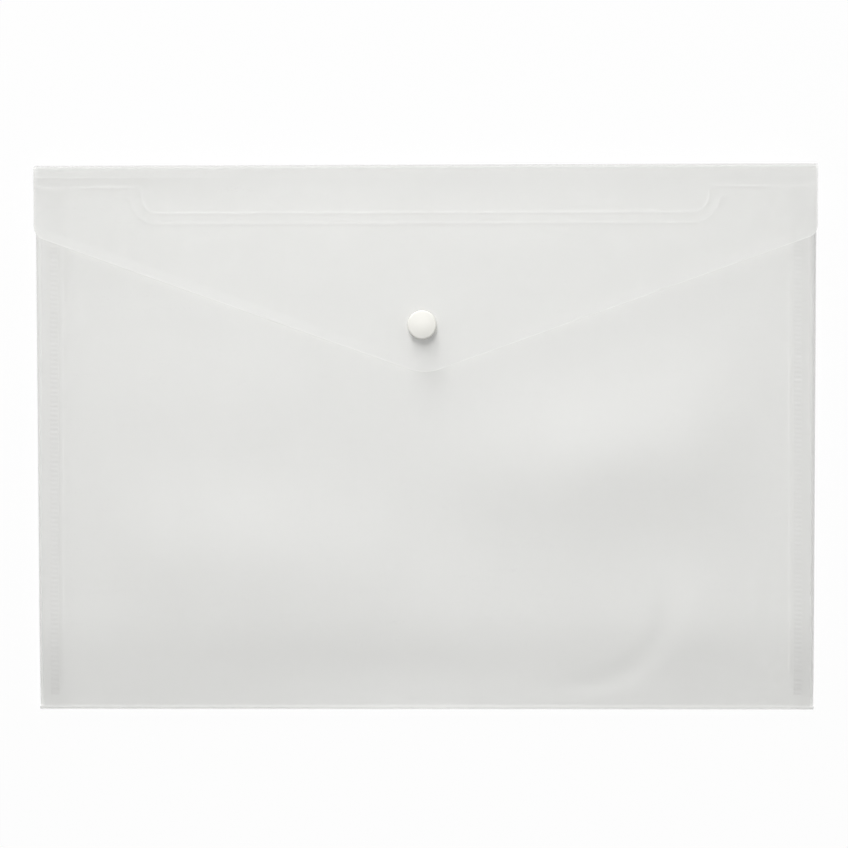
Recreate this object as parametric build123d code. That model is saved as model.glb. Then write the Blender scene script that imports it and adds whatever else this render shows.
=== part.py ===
from build123d import *
from math import asin, atan2, ceil, cos, degrees, radians, sin, tan
import os

# Document wallet: one creased and welded sheet of polypropylene, closed by a V flap with a snap fastener.
# It lies on its back: +X to the right, +Y towards the flap's fold, +Z out of the front. Millimetres.

# Overall size and sheet
wallet_width = 335.0  # over the side gussets and the flap
wallet_height = 233.5  # from the bottom fold to the flap's fold
sheet = 0.4
pocket_gap = 6.3  # clear height between the back and the front, past the front's rise

# Front panel
bottom_fold_radius = 1.8  # outside of the crease
front_rise = 40.0  # length over which the front swells from the bottom fold to its full height
mouth_to_fold = 3.6  # from the front's top edge to the start of the flap's fold
thumb_cut_width = 242.0
thumb_cut_depth = 11.0
thumb_cut_lip_radius = 3.5
thumb_cut_corner_radius = 6.5

# Side gussets, their hems under the front's margins, and the welds
gusset_bulge = 3.0  # how far a gusset stands out beyond the front's side edge at the mouth
gusset_low_bulge = 1.5  # the same at its lower end
gusset_lift = 0.6  # from the bottom fold's centre line to a gusset's lower end
gusset_sections = 9
shoulder_gap = 0.8  # from a gusset's upper end to the back's wider shoulder
hem_width = 9.4
hem_lift = 2.0  # from the bottom fold's centre line to a hem's lower end
hem_mitre_angle = 28.0
weld_gap = 0.1  # between a hem and the front's underside
seam_inset = 5.3  # from the front's side edge to the middle of a weld
seam_width = 3.6
seam_pitch = 2.0  # of the knurl's ribs
seam_seat = 0.03  # between a weld's band and the front's outer surface
seam_band = 0.1  # thickness of a weld's band between its ribs
seam_rib = 0.15  # height of the ribs on the band
seam_bottom_margin = 5.0
seam_mouth_margin = 3.0

# Flap
flap_side = 30.2  # from the top of the fold to the side corners
flap_edge_angle = 19.6  # of the V's edges against the fold
flap_corner_radius = 5.5
flap_tip_radius = 20.0

# Snap fastener
snap_to_tip = 20.0  # from the snap's axis to the flap's tip
snap_side_shift = -1.1  # the snap is punched slightly to the left of the middle
cap_diameter = 12.4
cap_height = 2.2
cap_crown = 0.5  # rise of the slightly domed face
cap_edge_radius = 0.8
backing_height = 1.8
backing_crown = 0.4
post_radius = 1.4  # of the cap's post through the flap
backing_post_radius = 1.1  # of the backing cap's post through the front
hole_clearance = 0.3  # round a post in the sheet
rivet_clearance = 0.05  # round a post in the socket or the stud
rivet_flare = 0.6  # how far a post's flattened end spreads
rivet_height = 0.4
stud_diameter = 10.0
stud_base = 0.8
neck_radius = 2.0
neck_height = 0.4
head_height = 0.5  # cylindrical part of the stud's head
snap_clearance = 0.25  # round the stud's head in the socket's throat
snap_air = 0.1  # between the socket and the stud's base, and above the stud's head
socket_diameter = 10.0
socket_height = 2.4
socket_web = 0.6
socket_wall = 0.9
throat_radius = 2.5
throat_lip = 0.5  # height of the lip that the head snaps past
throat_undercut = 0.25
petal_thickness = 0.45  # of the socket's springy collar at its lip
petal_slot = 0.5
petal_slots = 2  # cross slots, which make twice as many petals

# Heights and places that follow from the sizes above
half_width = wallet_width / 2
panel_half = half_width - gusset_bulge
front_under = sheet + pocket_gap
front_top = front_under + sheet
socket_bottom = front_top + stud_base + snap_air
flap_under = socket_bottom + socket_height
flap_top = flap_under + sheet
flap_fold_radius = flap_top / 2
bottom_y = bottom_fold_radius - wallet_height / 2
fold_y = wallet_height / 2 - flap_fold_radius
mouth_y = fold_y - mouth_to_fold
flap_corner_y = wallet_height / 2 - flap_side
flap_apex_y = flap_corner_y - half_width * tan(radians(flap_edge_angle))
flap_tip_y = flap_apex_y + flap_tip_radius * (1 / cos(radians(flap_edge_angle)) - 1)
snap_x = snap_side_shift
snap_y = flap_tip_y + snap_to_tip
cap_radius = cap_diameter / 2

# The front's rise is an arc tangent to the bottom fold below and to the flat front above
rise_end_y = bottom_y + front_rise
swell = front_top - 2 * bottom_fold_radius
rise_radius = (front_rise**2 + front_top * swell) / (2 * swell)
rise_centre = (rise_end_y, front_top - rise_radius)
rise_angle = degrees(atan2(front_rise, rise_radius - front_top + bottom_fold_radius))


def rise_angle_at(lift):
    """Angle on the rise, back from its upper end, of the place that lies lift above the bottom fold's centre."""
    return degrees(asin((front_rise - lift) / rise_radius))


def front_point(distance, height):
    """(y, z) of a point a distance along the front from the rise's upper end, a height above its outside."""
    if distance >= 0:
        return (rise_end_y + distance, front_top + height)
    angle = distance / rise_radius
    radius = rise_radius + height
    return (rise_centre[0] + radius * sin(angle), rise_centre[1] + radius * cos(angle))


def front_height(y, depth):
    """z of the surface that lies a depth below the front's outside, at y."""
    back = max(rise_end_y - y, 0)
    radius = rise_radius - depth
    return rise_centre[1] + (radius**2 - back**2) ** 0.5


def front_band(upper, lower, start_angle):
    """Profile in Y and Z of a sheet between two depths below the front's outside, from the rise to the mouth."""
    start = radians(start_angle)
    ends = []
    for depth in (upper, lower):
        radius = rise_radius - depth
        ends.append((rise_centre[0] - radius * sin(start), rise_centre[1] + radius * cos(start)))
    mouth = [(mouth_y, front_top - upper), (mouth_y, front_top - lower)]
    return make_face(
        [
            CenterArc(rise_centre, rise_radius - upper, 90, start_angle),
            CenterArc(rise_centre, rise_radius - lower, 90, start_angle),
            Line((rise_end_y, front_top - upper), mouth[0]),
            Line(mouth[0], mouth[1]),
            Line(mouth[1], (rise_end_y, front_top - lower)),
            Line(ends[0], ends[1]),
        ]
    )


def across(profile, low_x, high_x):
    """Carries a profile in Y and Z from low_x to high_x."""
    return extrude(Plane.YZ.offset(low_x) * profile, amount=high_x - low_x, dir=(1, 0, 0))


def fold(centre_y, radius, start_angle, sweep):
    """Profile in Y and Z of a rounded crease with the given outer radius, lying on the back's plane."""
    centre = (centre_y, radius)
    ring = [CenterArc(centre, r, start_angle, sweep) for r in (radius, radius - sheet)]
    return make_face([*ring, Line(ring[0] @ 0, ring[1] @ 0), Line(ring[0] @ 1, ring[1] @ 1)])


def turned(outline):
    """Solid of revolution about the snap's axis of a closed outline of edges in radius and height."""
    return Pos(snap_x, snap_y, 0) * revolve(Plane.XZ * make_face(outline), Axis.Z)


def sheet_hole(radius):
    """Punched hole on the snap's axis, through every layer."""
    return Pos(snap_x, snap_y, 0) * Cylinder(radius, 2 * flap_top)


def make_back_panel():
    shoulder_y = mouth_y + shoulder_gap
    body = Pos(0, (bottom_y + fold_y) / 2) * Rectangle(2 * panel_half, fold_y - bottom_y)
    shoulder = Pos(0, (shoulder_y + fold_y) / 2) * Rectangle(wallet_width, fold_y - shoulder_y)
    return extrude(body + shoulder, amount=sheet)


def make_bottom_fold():
    profile = fold(bottom_y, bottom_fold_radius, 270, rise_angle - 180)
    reach = panel_half + gusset_low_bulge
    return across(profile, -reach, reach)


def make_front_panel():
    panel = across(front_band(0, sheet, rise_angle), -panel_half, panel_half)
    cut_half = thumb_cut_width / 2
    cut_y = mouth_y - thumb_cut_depth
    lip = min(thumb_cut_lip_radius, 0.33 * thumb_cut_depth)
    corner = min(thumb_cut_corner_radius, 0.6 * thumb_cut_depth)
    reach = cut_half + 2 * lip
    edge = FilletPolyline(
        (-reach, mouth_y),
        (-cut_half, mouth_y),
        (-cut_half, cut_y),
        (cut_half, cut_y),
        (cut_half, mouth_y),
        (reach, mouth_y),
        radius=[lip, corner, corner, lip],
    )
    above = mouth_y + thumb_cut_depth
    closing = Polyline((reach, mouth_y), (reach, above), (-reach, above), (-reach, mouth_y))
    panel -= extrude(make_face([*edge.edges(), *closing.edges()]), amount=2 * front_top)
    return panel - sheet_hole(backing_post_radius + hole_clearance)


def make_side_gusset():
    """Right gusset: a sheet bent outwards from the back's edge to the hem, tapering to the bottom fold."""
    hem_depth = sheet + weld_gap
    low_y = bottom_y + gusset_lift
    taper = (gusset_bulge - gusset_low_bulge) / (mouth_y - low_y)
    count = gusset_sections - 1
    places = [low_y + (rise_end_y - low_y) * i / count for i in range(count + 1)]
    sections = []
    for y in [*places, mouth_y]:
        height = front_height(y, hem_depth)
        bulge = gusset_low_bulge + taper * (y - low_y)
        outside = ThreePointArc((panel_half, 0), (panel_half + bulge, height / 2), (panel_half, height))
        inner_bulge = panel_half + bulge - sheet
        inside = ThreePointArc((panel_half, sheet), (inner_bulge, height / 2), (panel_half, height - sheet))
        edges = [outside, inside, Line(outside @ 0, inside @ 0), Line(outside @ 1, inside @ 1)]
        sections.append(Plane((0, y, 0), x_dir=(1, 0, 0), z_dir=(0, -1, 0)) * make_face(edges))
    return loft(sections, ruled=True)


def make_weld_strip():
    """Right hem: it lies under the front's margin, with its inner lower corner cut at an angle."""
    upper = sheet + weld_gap
    inner_x = panel_half - hem_width
    hem = across(front_band(upper, upper + sheet, rise_angle_at(hem_lift)), inner_x, panel_half)
    low_y = bottom_y + hem_lift - sheet
    mitre_y = low_y + hem_width * tan(radians(hem_mitre_angle))
    corner = make_face(Polyline((panel_half, low_y), (inner_x, low_y), (inner_x, mitre_y), close=True))
    return hem - extrude(corner, amount=front_top)


def make_weld_seam():
    """Right weld: a knurled band on the front, one rib to each pitch."""
    start = seam_bottom_margin - rise_radius * radians(rise_angle)
    length = mouth_y - seam_mouth_margin - rise_end_y - start
    ribs = ceil(length / seam_pitch)
    step = length / ribs
    band_top = seam_seat + seam_band
    rib_top = band_top + seam_rib
    rib_shape = ((0.125, band_top), (0.375, rib_top), (0.625, rib_top), (0.875, band_top))
    upper = [front_point(start + (i + part) * step, top) for i in range(ribs) for part, top in rib_shape]
    lower = [front_point(start + i * step, seam_seat) for i in range(ribs + 1)]
    middle_x = panel_half - seam_inset
    outline = make_face(Polyline(*upper, *reversed(lower), close=True))
    return across(outline, middle_x - seam_width / 2, middle_x + seam_width / 2)


def make_flap_fold():
    return across(fold(fold_y, flap_fold_radius, -90, 180), -half_width, half_width)


def make_flap():
    outline = make_face(
        Polyline(
            (-half_width, fold_y),
            (-half_width, flap_corner_y),
            (0, flap_apex_y),
            (half_width, flap_corner_y),
            (half_width, fold_y),
            close=True,
        )
    )
    rows = outline.vertices().group_by(Axis.Y)
    outline = fillet(rows[1], flap_corner_radius)
    outline = fillet(outline.vertices().group_by(Axis.Y)[0], flap_tip_radius)
    flap = Pos(0, 0, flap_under) * extrude(outline, amount=sheet)
    return flap - sheet_hole(post_radius + hole_clearance)


def button_outline(seat, height, crown, direction, post, post_end, rivet_end):
    """Half outline of a domed button on its post, whose end is flattened into a rivet.

    direction is 1 where the button's face looks up and -1 where it looks down.
    """
    face_radius = cap_radius - cap_edge_radius
    face = seat + direction * height
    shoulder = face - direction * crown
    side = shoulder - direction * cap_edge_radius
    ball = (face_radius**2 + crown**2) / (2 * crown)
    half = face_radius / 2
    dome_middle = face - direction * (ball - (ball**2 - half**2) ** 0.5)
    edge_middle = shoulder - direction * cap_edge_radius * (1 - cos(radians(45)))
    flare = post + rivet_flare
    rim = Polyline(
        (cap_radius, side),
        (cap_radius, seat),
        (post, seat),
        (post, post_end),
        (flare, post_end),
        (flare, rivet_end),
        (0, rivet_end),
        (0, face),
    )
    return [
        ThreePointArc((0, face), (half, dome_middle), (face_radius, shoulder)),
        ThreePointArc(
            (face_radius, shoulder),
            (face_radius + cap_edge_radius * sin(radians(45)), edge_middle),
            (cap_radius, side),
        ),
        *rim.edges(),
    ]


def make_snap_cap():
    web_bottom = flap_under - socket_web
    return turned(
        button_outline(flap_top, cap_height, cap_crown, 1, post_radius, web_bottom, web_bottom - rivet_height)
    )


def stud_top():
    """Top of the stud's head, just under the rivet inside the socket."""
    return flap_under - socket_web - rivet_height - snap_air


def make_snap_backing_cap():
    rivet_end = stud_top()
    return turned(
        button_outline(
            front_under,
            backing_height,
            backing_crown,
            -1,
            backing_post_radius,
            rivet_end - rivet_height,
            rivet_end,
        )
    )


def make_snap_socket():
    hole = post_radius + rivet_clearance
    web_bottom = flap_under - socket_web
    outer = socket_diameter / 2
    groove = outer - socket_wall
    collar = throat_radius + petal_thickness + throat_undercut
    cavity = throat_radius + throat_undercut
    lip_top = socket_bottom + throat_lip
    ring = Polyline(
        (hole, flap_under),
        (outer, flap_under),
        (outer, socket_bottom),
        (groove, socket_bottom),
        (groove, web_bottom),
        (collar, web_bottom),
        (collar, socket_bottom),
        (throat_radius, socket_bottom),
        (throat_radius, lip_top),
        (cavity, lip_top + throat_undercut),
        (cavity, web_bottom),
        (hole, web_bottom),
        close=True,
    )
    socket = turned(ring.edges())
    reach = collar + groove
    depth = web_bottom - socket_bottom
    for i in range(petal_slots):
        slot = Rot(0, 0, 180 * i / petal_slots) * Box(reach, petal_slot, depth)
        socket -= Pos(snap_x, snap_y, socket_bottom + depth / 2) * slot
    return socket


def make_snap_stud():
    hole = backing_post_radius + rivet_clearance
    rivet = backing_post_radius + rivet_flare + rivet_clearance
    head = throat_radius - snap_clearance
    base_top = front_top + stud_base
    neck_top = base_top + neck_height
    head_bottom = neck_top + head - neck_radius
    top = stud_top()
    outline = Polyline(
        (hole, front_top),
        (stud_diameter / 2, front_top),
        (stud_diameter / 2, base_top),
        (neck_radius, base_top),
        (neck_radius, neck_top),
        (head, head_bottom),
        (head, head_bottom + head_height),
        ((head + rivet) / 2, top),
        (rivet, top),
        (rivet, top - rivet_height),
        (hole, top - rivet_height),
        close=True,
    )
    return turned(outline.edges())


def other_side(piece):
    """The left twin of a piece on the right."""
    return mirror(piece, about=Plane.YZ)


side_gusset = make_side_gusset()
weld_strip = make_weld_strip()
weld_seam = make_weld_seam()
nodes = {
    "back_panel": make_back_panel(),
    "bottom_fold": make_bottom_fold(),
    "front_panel": make_front_panel(),
    "right_side_gusset": side_gusset,
    "left_side_gusset": other_side(side_gusset),
    "right_weld_strip": weld_strip,
    "left_weld_strip": other_side(weld_strip),
    "right_weld_seam": weld_seam,
    "left_weld_seam": other_side(weld_seam),
    "flap_fold": make_flap_fold(),
    "flap": make_flap(),
    "snap_cap": make_snap_cap(),
    "snap_socket": make_snap_socket(),
    "snap_stud": make_snap_stud(),
    "snap_backing_cap": make_snap_backing_cap(),
}

os.makedirs("parts", exist_ok=True)
for name, piece in nodes.items():
    export_step(piece, f"parts/{name}.step")

# Sizes that the joints and the pocket's clear space follow from
hem_under = front_under - weld_gap - sheet
cap_room = front_under - backing_height - sheet
press_cap = degrees(asin(cap_room / (snap_y + cap_radius - bottom_y)))
press_hem = degrees(asin((hem_under - sheet) / (mouth_y - bottom_y)))
print(f"flap hinge y {fold_y:.3f} z {flap_fold_radius:.3f}, front hinge y {bottom_y:.3f} z {bottom_fold_radius}")
print(f"snap y {snap_y:.3f}, flap tip y {flap_tip_y:.3f}, mouth y {mouth_y:.3f}, front edge x {panel_half:.3f}")
print(f"press until backing cap touches {press_cap:.3f} deg, until hems touch {press_hem:.3f} deg")
print(f"backing cap bottom z {front_under - backing_height:.3f}, top of cap z {flap_top + cap_height:.3f}")
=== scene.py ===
import math
from collections import namedtuple

import bpy
import numpy as np
from bpy.props import FloatProperty, FloatVectorProperty, PointerProperty
from bpy.types import Operator, Panel, PropertyGroup
from mathutils import Matrix, Vector


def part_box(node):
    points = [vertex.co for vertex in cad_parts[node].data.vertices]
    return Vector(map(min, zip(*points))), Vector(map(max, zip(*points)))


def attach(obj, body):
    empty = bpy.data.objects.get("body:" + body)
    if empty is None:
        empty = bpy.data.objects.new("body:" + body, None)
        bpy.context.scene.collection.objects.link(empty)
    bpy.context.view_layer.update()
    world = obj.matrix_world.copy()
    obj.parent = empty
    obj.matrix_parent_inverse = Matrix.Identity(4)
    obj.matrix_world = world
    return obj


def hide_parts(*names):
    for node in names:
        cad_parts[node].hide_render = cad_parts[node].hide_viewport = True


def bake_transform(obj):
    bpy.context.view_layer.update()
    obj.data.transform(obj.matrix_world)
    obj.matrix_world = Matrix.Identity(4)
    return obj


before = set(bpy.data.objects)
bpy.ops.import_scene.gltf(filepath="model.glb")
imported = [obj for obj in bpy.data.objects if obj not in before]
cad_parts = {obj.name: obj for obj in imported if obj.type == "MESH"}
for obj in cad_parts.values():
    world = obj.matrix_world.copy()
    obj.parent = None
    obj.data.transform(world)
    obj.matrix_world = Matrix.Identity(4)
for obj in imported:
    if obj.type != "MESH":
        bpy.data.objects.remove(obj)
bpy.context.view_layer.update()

bl_info = {
    "name": "Document wallet",
    "version": (1, 0, 0),
    "blender": (4, 5, 0),
    "location": "View3D > Sidebar > Wallet",
    "description": "Frosted film sheets, knurled welds and a snap button, dressed round the wallet's frame",
    "category": "Object",
}

# Places that come from the frame, in metres
back_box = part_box("back_panel")
front_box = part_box("front_panel")
flap_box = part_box("flap")
hem_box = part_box("right_weld_strip")
weld_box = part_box("right_weld_seam")
cap_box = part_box("snap_cap")

FILM = back_box[1].z
BOTTOM_Y = back_box[0].y
FOLD_Y = back_box[1].y
BOTTOM_RADIUS = BOTTOM_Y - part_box("bottom_fold")[0].y
BOTTOM_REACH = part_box("bottom_fold")[1].x
FLAP_FOLD_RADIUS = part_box("flap_fold")[1].z / 2
HALF_WIDTH = flap_box[1].x
FLAP_TOP = flap_box[1].z
FLAP_TIP_Y = flap_box[0].y
PANEL_HALF = front_box[1].x
FRONT_TOP = front_box[1].z
MOUTH_Y = front_box[1].y
HEM_INNER_X = hem_box[0].x
HEM_LOW_Y = hem_box[0].y
WELD_X = (weld_box[0].x, weld_box[1].x)
WELD_Y = (weld_box[0].y, weld_box[1].y)
GUSSET_LOW_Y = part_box("right_side_gusset")[0].y
GUSSET_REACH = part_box("right_side_gusset")[1].x
SNAP_X = (cap_box[0].x + cap_box[1].x) / 2
SNAP_Y = (cap_box[0].y + cap_box[1].y) / 2
CAP_RADIUS = (cap_box[1].x - cap_box[0].x) / 2
CAP_TOP = cap_box[1].z
CAP_LOW = cap_box[0].z
SOCKET_WEB = 0.0006
SOCKET_WEB_Z = FLAP_TOP - FILM - SOCKET_WEB

# Mesh steps
RIM_STEPS = 8  # faces across a cut edge
CORNER_STEPS = 9  # points round a quarter circle
LONG_STEPS = 121  # points along a fold or a gusset
SLOPE_STEP = 0.00005  # half the length over which a slope is taken
RIM_SQUARE = 12.0  # exponent of a cut edge's outline, where 2 is a half round
SHARP_ANGLE = math.radians(40)
EDGE_ROW = 0.00045  # how far inside a cut edge the next row of points lies

# Films of the same sheet: tone as a share of the film's colour, and how solid one face looks.
# The tones are painted light and shade: the film is lighter on the flap and gussets, darker on the back and
# hems
Film = namedtuple("Film", "tone opacity")
FILMS = {
    "back_film": Film(0.92, 0.75),
    "front_film": Film(1.0, 0.47),
    "gusset_film": Film(1.06, 0.47),
    "hem_film": Film(0.96, 0.47),
    "weld_film": Film(1.0, 0.47),
    "flap_film": Film(1.015, 0.50),
}

# How milky the cut edges are at the mouth and the hems, and along the V, from 0 to 1; the mark
# is partly the film's milky cut edge and partly a painted highlight along it
MOUTH_EDGE = 0.7
V_EDGE = 0.08

# Slow bows of the empty front: place of the crown, reach along and across, turn, and share of
# the bow's height
Bow = namedtuple("Bow", "x y long wide turn share")
FRONT_BOWS = (
    Bow(0.092, -0.006, 0.070, 0.029, math.radians(8), 1.1),
    Bow(-0.085, -0.052, 0.085, 0.032, math.radians(-6), 0.75),
    Bow(-0.080, 0.020, 0.070, 0.030, math.radians(12), 0.35),
    Bow(0.010, -0.040, 0.040, 0.026, math.radians(-20), -0.3),
    Bow(0.120, -0.078, 0.034, 0.024, math.radians(0), 0.4),
)

# Distances in metres between which a form fades in
BOW_FROM_SIDE = (0.006, 0.055)
BOW_FROM_BOTTOM = (0.002, 0.030)
BOW_FROM_MOUTH = (0.002, 0.050)
BOW_FROM_SNAP = (0.008, 0.035)
BUCKLE_FROM_BOTTOM = (0.002, 0.010)
DROOP_FROM_MIDDLE = (0.045, HALF_WIDTH)
CURL_FROM_MIDDLE = (0.004, 0.050)
STEEP_FROM_SNAP = (0.005, 0.013)
GENTLE_FROM_SNAP = (0.006, 0.036)

# Distances in metres between which a form fades out
# Fade of the bottom crease's whitening and painted light up the front's lower slope
WHITE_FROM_BOTTOM = (0.002, 0.024)
EDGE_BEAD_FROM_MIDDLE = (0.140, 0.152)
INNER_BEAD_FROM_CUT = (0.004, 0.012)

# Lamps: place and width in metres, and whether the film and the snap mirror it
Lamp = namedtuple("Lamp", "place width gloss")
LAMPS = {
    "key": Lamp(Vector((-0.50, 2.80, 1.50)), 1.2, False),
    "top": Lamp(Vector((-0.08, 0.27, 1.85)), 0.70, True),
    "fill": Lamp(Vector((0.10, -1.05, 0.95)), 0.40, False),
    "left": Lamp(Vector((-1.30, -0.35, 0.30)), 0.40, False),
    "right": Lamp(Vector((1.30, -0.35, 0.30)), 0.40, False),
}


class WalletSizes(PropertyGroup):
    """Sizes of the film's cuts, creases and swelling"""

    front_rise: FloatProperty(
        name="Front rise", description="Length over which the front swells out of the bottom fold",
        default=0.040, unit="LENGTH",
    )
    cut_width: FloatProperty(
        name="Thumb cut width", description="Width of the cut in the front's top edge",
        default=0.242, unit="LENGTH",
    )
    cut_depth: FloatProperty(
        name="Thumb cut depth", description="Depth of the cut in the front's top edge",
        default=0.011, unit="LENGTH",
    )
    cut_lip: FloatProperty(
        name="Thumb cut lip", description="Radius of the outer rounding of the thumb cut",
        default=0.0035, unit="LENGTH",
    )
    cut_corner: FloatProperty(
        name="Thumb cut corner", description="Radius of the inner rounding of the thumb cut",
        default=0.0065, unit="LENGTH",
    )
    flap_angle: FloatProperty(
        name="Flap angle", description="Angle of the V's edges against the flap's fold",
        default=math.radians(19.6), subtype="ANGLE",
    )
    flap_corner: FloatProperty(
        name="Flap corner", description="Radius of the flap's side corners", default=0.0055, unit="LENGTH",
    )
    flap_tip: FloatProperty(
        name="Flap tip", description="Radius of the flap's rounded tip", default=0.020, unit="LENGTH",
    )
    left_droop: FloatProperty(
        name="Left droop", description="How far the flap's left corner hangs",
        default=0.0004, unit="LENGTH",
    )
    right_droop: FloatProperty(
        name="Right droop", description="How far the flap's right corner hangs",
        default=0.00005, unit="LENGTH",
    )
    snap_fall: FloatProperty(
        name="Fall round the snap", description="How far the flap sinks from the snap that holds it up",
        default=0.00037, unit="LENGTH",
    )
    fold_lift: FloatProperty(
        name="Fold lift", description="How far the flap's fold stands proud of the flap",
        default=0.00025, unit="LENGTH",
    )
    left_curl: FloatProperty(
        name="Left rim curl", description="How far the V's left edge curls up",
        default=0.00018, unit="LENGTH",
    )
    right_curl: FloatProperty(
        name="Right rim curl", description="How far the V's right edge curls up",
        default=0.00013, unit="LENGTH",
    )
    rim_width: FloatProperty(
        name="Rim width", description="Width of the curled rim along the V's edges",
        default=0.0045, unit="LENGTH",
    )
    bow_height: FloatProperty(
        name="Bow height", description="Height of the highest slow bow in the empty front",
        default=0.0020, unit="LENGTH",
    )
    buckle_depth: FloatProperty(
        name="Buckle depth", description="Depth of the curved buckle at the front's lower right",
        default=0.00045, unit="LENGTH",
    )
    mouth_bead: FloatProperty(
        name="Mouth beads", description="Height of the two embossed beads that follow the mouth's edge",
        default=0.0002, unit="LENGTH",
    )
    bead_width: FloatProperty(
        name="Bead width", description="Half width of the mouth's beads", default=0.0008, unit="LENGTH",
    )
    edge_bead: FloatProperty(
        name="Edge bead", description="Distance from the mouth's edge to its first bead",
        default=0.0005, unit="LENGTH",
    )
    inner_bead: FloatProperty(
        name="Inner bead", description="Distance from the mouth's edge to its second bead",
        default=0.0052, unit="LENGTH",
    )
    mouth_print: FloatProperty(
        name="Mouth print", description="How high the mouth's beads show through the flap",
        default=0.000024, unit="LENGTH",
    )
    # Partly crease whitening, partly painted light that lightens the front's lower slope, which faces away
    # from the key lamp
    bottom_crease: FloatProperty(
        name="Bottom crease", description="How far the film is whitened beside the bottom fold",
        default=0.42, min=0, max=1, subtype="FACTOR",
    )
    hem_mitre: FloatProperty(
        name="Hem mitre", description="Angle at which the hems' lower ends are cut",
        default=math.radians(28), subtype="ANGLE",
    )
    low_bulge: FloatProperty(
        name="Low bulge", description="How far the side gussets stand out at the bottom",
        default=0.0015, unit="LENGTH",
    )
    weld_gap: FloatProperty(
        name="Weld gap", description="Gap between a hem and the front's underside",
        default=0.0001, unit="LENGTH",
    )
    rib_pitch: FloatProperty(
        name="Rib pitch", description="Distance between the ribs of the knurled welds",
        default=0.002, unit="LENGTH",
    )
    weld_seat: FloatProperty(
        name="Weld seat", description="Gap between a weld's band and the front",
        default=0.00003, unit="LENGTH",
    )
    weld_band: FloatProperty(
        name="Weld band", description="Thickness of a weld's band between its ribs",
        default=0.0001, unit="LENGTH",
    )
    weld_rib: FloatProperty(
        name="Weld rib", description="Height of the ribs on a weld's band", default=0.00004, unit="LENGTH",
    )
    flap_fold_square: FloatProperty(
        name="Flap fold squareness",
        description="Exponent of the flap fold's outline, where 2 is a half round",
        default=5.0, min=2, max=8,
    )
    bottom_fold_square: FloatProperty(
        name="Bottom fold squareness",
        description="Exponent of the bottom fold's outline, where 2 is a half round",
        default=3.0, min=2, max=8,
    )


class WalletFinish(PropertyGroup):
    """Colours and finish of the film and the snap"""

    film_colour: FloatVectorProperty(
        name="Film", description="Colour of the frosted film", subtype="COLOR", size=3,
        default=(0.705, 0.705, 0.692), min=0, max=1,
    )
    # Partly the milky cut edge, partly a painted highlight: the bright line the edges catch
    edge_colour: FloatVectorProperty(
        name="Cut edge", description="Colour of the film's milky cut edges", subtype="COLOR", size=3,
        default=(0.95, 0.95, 0.94), min=0, max=1,
    )
    # Partly the film's whitening at folds, partly painted light on folds and slopes that face away from the
    # lamps
    crease_colour: FloatVectorProperty(
        name="Crease", description="Colour of the film where it is whitened by a fold",
        subtype="COLOR", size=3, default=(0.96, 0.96, 0.955), min=0, max=1,
    )
    # Painted shade: the colour is darkened where the flap's fold stands upright, so its lamp-lit wall does
    # not read white
    bend_shade: FloatProperty(
        name="Bend shade",
        description="How far the film darkens where it stands upright in the flap's fold",
        default=0.28, min=0, max=1, subtype="FACTOR",
    )
    edge_opacity: FloatProperty(
        name="Cut edge opacity", description="How solid a milky cut edge looks",
        default=0.9, min=0, max=1, subtype="FACTOR",
    )
    film_light: FloatProperty(
        name="Light through film",
        description="Share of a lamp's light that one face of the film lets through",
        default=0.975, min=0, max=1, subtype="FACTOR",
    )
    film_roughness: FloatProperty(
        name="Film roughness", description="Roughness of the frosted film",
        default=0.30, min=0, max=1, subtype="FACTOR",
    )
    snap_colour: FloatVectorProperty(
        name="Snap", description="Colour of the moulded snap", subtype="COLOR", size=3,
        default=(0.870, 0.861, 0.812), min=0, max=1,
    )


class WalletStage(PropertyGroup):
    """Lamps and camera"""

    key_power: FloatProperty(
        name="Key lamp", description="Power of the lamp beyond the flap", default=115.0, unit="POWER",
    )
    top_power: FloatProperty(
        name="Top lamp", description="Power of the lamp above the flap", default=5.5, unit="POWER",
    )
    fill_power: FloatProperty(
        name="Fill lamp", description="Power of the lamp on the bottom fold's side",
        default=3.1, unit="POWER",
    )
    left_power: FloatProperty(
        name="Left lamp", description="Power of the low lamp to the left", default=1.2, unit="POWER",
    )
    right_power: FloatProperty(
        name="Right lamp", description="Power of the low lamp to the right", default=2.1, unit="POWER",
    )
    sky: FloatProperty(
        name="Sky", description="Strength of the even light from all round", default=0.15, min=0,
    )
    lens: FloatProperty(
        name="Lens", description="Focal length of the camera, in millimetres on a 36 mm frame",
        default=158.1,
    )


class Wire:
    """An output socket in an expression: each operator adds the Math node that works it out."""

    def __init__(self, nodes, socket):
        self.nodes = nodes
        self.socket = socket

    def maths(self, operation, first, second):
        return self.nodes.add("ShaderNodeMath", {"operation": operation}, {0: first, 1: second})

    def __add__(self, other):
        return self.maths("ADD", self, other)

    def __radd__(self, other):
        return self.maths("ADD", other, self)

    def __mul__(self, other):
        return self.maths("MULTIPLY", self, other)

    def __rmul__(self, other):
        return self.maths("MULTIPLY", other, self)

    def most(self, other):
        return self.maths("MAXIMUM", self, other)


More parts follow.
